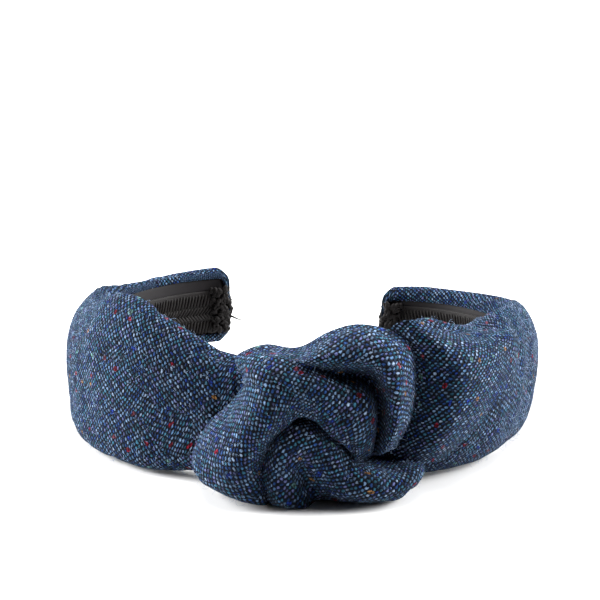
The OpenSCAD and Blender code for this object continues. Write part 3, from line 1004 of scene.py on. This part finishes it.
def braid_spots(side):
    """Where each wrapped cord lies: place, its direction, the outward side, length, thickness."""
    length = band_length(side)
    rows = []
    pitch = np.arange(0.6, length + 0.4, STITCH)
    # height across, half length, slant along the band for its rise, place along the pitch, bulk
    lies = [
        (3.5, 2.3, 0.28, 0.0, 1.0),
        (0.3, 1.75, 0.95, 0.35, 0.95),
        (-2.0, 1.75, -0.95, 0.35, 0.95),
        (-5.2, 2.3, 0.22, 0.5, 1.0),
    ]
    for height, half, slant, shift, bulk in lies:
        for at in pitch:
            rows.append((at + shift * STITCH, height, half, slant, bulk, BRAID_FACE))
    # the folded end: short loops of the same cord lying every way, bulging past the tip
    tangle = np.random.default_rng(5)
    for _ in range(END_LOOPS):
        height = tangle.uniform(-6.6, 7.6)
        rounding = 0.03 * (height - 0.5) ** 2
        past = tangle.uniform(-3.4, 2.6) - rounding
        bulge = -2.9 - 0.9 * math.sqrt(max(1 - ((past + 0.4) / 3.2) ** 2, 0))
        slant = math.tan(tangle.uniform(-1.25, 1.25))
        half, bulk = tangle.uniform(0.9, 1.5), tangle.uniform(1.0, 1.4)
        rows.append((length + past, height, half, slant, bulk, bulge))
        rows.append((length + 2.4 - rounding, height, 1.2, slant, 1.35, -1.6))
    at, height, half, slant, bulk, out = np.array(rows).T
    middle = on_band(side, at, out, height - BRAID_DROP)
    ahead = on_band(side, at + slant * 0.5, out, height - BRAID_DROP + 0.5) - middle
    face = on_band(side, at, out - 1, height - BRAID_DROP) - middle
    ahead /= np.linalg.norm(ahead, axis=1, keepdims=True)
    face /= np.linalg.norm(face, axis=1, keepdims=True)
    mesh = bpy.data.meshes.new(f"{side}_braid_spots")
    mesh.from_pydata(middle.tolist(), [], [])
    for label, values in (("lie", ahead), ("face", face)):
        mesh.attributes.new(label, "FLOAT_VECTOR", "POINT").data.foreach_set(
            "vector", values.ravel()
        )
    for label, values in (("long", half * MM), ("thick", bulk)):
        mesh.attributes.new(label, "FLOAT", "POINT").data.foreach_set("value", values)
    return mesh


for number, side in enumerate(("left", "right")):
    base = strip(
        f"{side}_braid_base", side, -0.5, band_length(side) + 0.8,
        lambda s: BRAID_HALF - 0.3, BRAID_FACE, BRAID_BACK, BRAID_DROP, rayon,
    )
    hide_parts(*(f"trim_{part}" for part in HALVES[side]))
    piece = grown(
        f"{side}_braid_cords", braid_spots(side), braid_cords, Cord_radius=0.52 * MM, Seed=number
    )
    flex(piece, side)

# ---------------------------------------------------------------- loose thread
# At the left tip the black sewing thread that closes the braid's end was cut off long. Its tail,
# a ply split from it and two frayed loops stand out of the end.
thread_black, _ = material(
    "sewing_thread", 0.6, Base_Color=(0.012, 0.010, 0.010, 1), Specular_IOR_Level=0.2
)
tail_start = on_band("left", band_length("left") + 2.2, -2.4, -3.4)
TAILS = {
    "thread_tail_end": [(-1, 0, 0.3), (0.6, -0.6, 0), (2.2, -0.9, -0.5), (4.0, -0.7, -1.2)],
    "thread_loop_1": [(-1, 0, 0.5), (0.5, -0.8, 0.4), (1.8, -0.6, -0.2), (3.1, -0.6, -0.9)],
    "thread_loop_2": [(-1.2, 0.2, 2.4), (0.6, -0.8, 3.2), (1.0, -1.2, 1.8), (-0.4, -0.9, 1.0)],
    "thread_loop_3": [(-2.2, -0.2, 4.0), (-0.6, -1.2, 5.0), (0.5, -1.0, 3.8), (0.4, -0.2, 2.0)],
}
THREAD_RADIUS = 0.2
for name, points in TAILS.items():
    path = even_line(points, 18)
    along = np.gradient(path, axis=0)
    side_way = np.cross(along, (0.13, 0.9, 0.4))
    side_way /= np.linalg.norm(side_way, axis=1, keepdims=True)
    up_way = np.cross(side_way, along / np.linalg.norm(along, axis=1, keepdims=True))
    angle = np.linspace(0, 2 * math.pi, 7)[:-1]
    ring = np.cos(angle)[:, None] * side_way[:, None] + np.sin(angle)[:, None] * up_way[:, None]
    ring = tail_start + MM * (path[:, None] + THREAD_RADIUS * ring)
    piece = skin(name, ring, thread_map(ring, 0), thread_black)
    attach(piece, "left_arm")
    if name == "thread_tail_end":
        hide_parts("thread_tail")

# ---------------------------------------------------------------- wool fuzz
# The tweed is spun from coarse wool, and short pale hairs stand off its whole surface, so its
# edges look soft against the light. They stand thickest on the top of the gathers.
wool, _ = material(
    "wool_hair", 0.85, Base_Color=(0.24, 0.32, 0.46, 1), Specular_IOR_Level=0.1
)

hair_tree = Tree("wool_hairs", Hairs_per_area="Float", Hair_radius="Float", Seed="Int")
spots = hair_tree.node(
    "GeometryNodeDistributePointsOnFaces",
    Mesh=hair_tree.given["Geometry"],
    Density=hair_tree.given["Hairs_per_area"],
    Seed=hair_tree.given["Seed"],
    Selection=hair_tree.attribute("shown", "BOOLEAN"),
)
arc = hair_tree.node(
    "GeometryNodeCurveQuadraticBezier",
    Resolution=4,
    Start=(0, 0, -0.1 * MM),
    Middle=(0.5 * MM, 0, 0.75 * MM),
    End=(1.15 * MM, 0.25 * MM, 0.35 * MM),
)[0]
profile = hair_tree.node(
    "GeometryNodeCurvePrimitiveCircle", Resolution=3, Radius=hair_tree.given["Hair_radius"]
)[0]
hair = hair_tree.node("GeometryNodeCurveToMesh", Curve=arc, Profile_Curve=profile)[0]
turn = hair_tree.node(
    "FunctionNodeRandomValue",
    {"data_type": "FLOAT_VECTOR"},
    _0=(-0.5, -0.9, 0.0),
    _1=(0.5, 0.5, 2 * math.pi),
    Seed=hair_tree.given["Seed"],
)[0]
turned = hair_tree.node(
    "FunctionNodeRotateRotation",
    {"rotation_space": "LOCAL"},
    Rotation=spots[2],
    Rotate_By=hair_tree.node("FunctionNodeEulerToRotation", Euler=turn)[0],
)[0]
length = hair_tree.node(
    "FunctionNodeRandomValue", {"data_type": "FLOAT"}, _2=0.4, _3=1.7, Seed=hair_tree.given["Seed"]
)[1]
hairs = hair_tree.node(
    "GeometryNodeInstanceOnPoints",
    Points=spots[0],
    Instance=hair,
    Rotation=turned,
    Scale=length,
)[0]
wool_hairs = hair_tree.finish(hairs, wool)
# a hair with cloth over it within this reach lies in a crease
CREASE_REACH = 7 * MM
HEAD_MIDDLE = (0.0, 0.012)
knot_walls = [
    BVHTree.FromPolygons([v.co for v in mesh.vertices], [p.vertices for p in mesh.polygons])
    for mesh in (strand.data for strand in (over_strand, under_strand, gather))
]


def stands_clear(place, direction):
    """Whether no strand of the knot lies over this spot: hairs in a crease are pressed flat."""
    start = place + direction * 0.4 * MM
    return all(wall.ray_cast(start, direction, CREASE_REACH)[0] is None for wall in knot_walls)


def seen_faces(mesh):
    """Marks the faces that look outwards, away from the middle of the head, and stand clear."""
    centre, normal = (read(mesh.polygons, what, 3).astype(float) for what in ("center", "normal"))
    away = centre[:, :2] - HEAD_MIDDLE
    away /= np.linalg.norm(away, axis=1, keepdims=True)
    out = (normal[:, :2] * away).sum(axis=1)
    shown = (out > -0.25) & (centre[:, 2] > 0.5 * MM)
    for index in np.flatnonzero(shown & (centre[:, 1] < CROWN[1] + 0.02)):
        shown[index] = stands_clear(Vector(centre[index]), Vector(normal[index]))
    mesh.attributes.new("shown", "BOOLEAN", "FACE").data.foreach_set("value", shown)
    return mesh


# piece, the arm that it lies on, and hairs in each square millimetre
fuzzy = [
    ("left_sleeve", "left", 0.22),
    ("right_sleeve", "right", 0.28),
    ("knot_over_strand", None, 0.16),
    ("knot_under_strand", None, 0.14),
    ("knot_gather_fold", None, 0.36),
]
for number, (under, side, density) in enumerate(fuzzy):
    source = seen_faces(bpy.data.objects[under].data.copy())
    piece = grown(
        f"{under}_wool", source, wool_hairs,
        Hairs_per_area=density / MM**2, Hair_radius=0.016 * MM, Seed=number,
    )
    if side:
        flex(piece, side)
    else:
        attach(piece, "crown")

# ---------------------------------------------------------------- table, light and camera
floor_mesh = bpy.data.meshes.new("table")
floor_mesh.from_pydata(
    [(-3, -2, 0), (3, -2, 0), (3, 4, 0), (-3, 4, 0)], [], [(0, 1, 2, 3)]
)
table_top = bpy.data.objects.new("table", floor_mesh)
bpy.context.scene.collection.objects.link(table_top)
paper, _ = material("white_paper", 0.9, Base_Color=(0.7, 0.7, 0.7, 1))
floor_mesh.materials.append(paper)

world = bpy.data.worlds.new("studio")
bpy.context.scene.world = world
world.use_nodes = True
background = world.node_tree.nodes["Background"]
# the backdrop and ceiling are white and the room in front of the table is dimmer
Signal.tree = world.node_tree
_, ahead, above = split(Signal.node("ShaderNodeTexCoord"))
from_front = (0.35 - ahead - 0.5 * above).clamp()
into(background, "Strength", 1.0 - 0.9 * from_front)
bpy.context.scene.view_settings.view_transform = "Standard"


def soft_box(name, at, aim, size, watts):
    light = bpy.data.lights.new(name, "AREA")
    light.shape, light.size, light.energy = "SQUARE", size, watts
    lamp = bpy.data.objects.new(name, light)
    lamp.location = at
    lamp.rotation_euler = (Vector(aim) - Vector(at)).to_track_quat("-Z", "Y").to_euler()
    bpy.context.scene.collection.objects.link(lamp)


soft_box("overhead", (0.05, 0.25, 1.0), (0, 0, 0), 0.9, 27)
soft_box("left_side", (-1.1, 0.12, 0.45), (0, 0, 0.02), 0.7, 52)
soft_box("right_side", (1.1, 0.15, 0.5), (0, 0, 0.02), 0.7, 46)

camera = bpy.data.cameras.new("camera")
camera.sensor_width = 36
camera.lens = 160.8
camera_object = bpy.data.objects.new("camera", camera)
camera_object.location = Vector((0.3, -760.1, 271.2)) * MM
down, turn = math.radians(16.91), math.radians(-0.13)
look = Vector((math.sin(turn), math.cos(down), -math.sin(down)))
camera_object.rotation_euler = look.to_track_quat("-Z", "Y").to_euler()
bpy.context.scene.collection.objects.link(camera_object)
bpy.context.scene.camera = camera_object
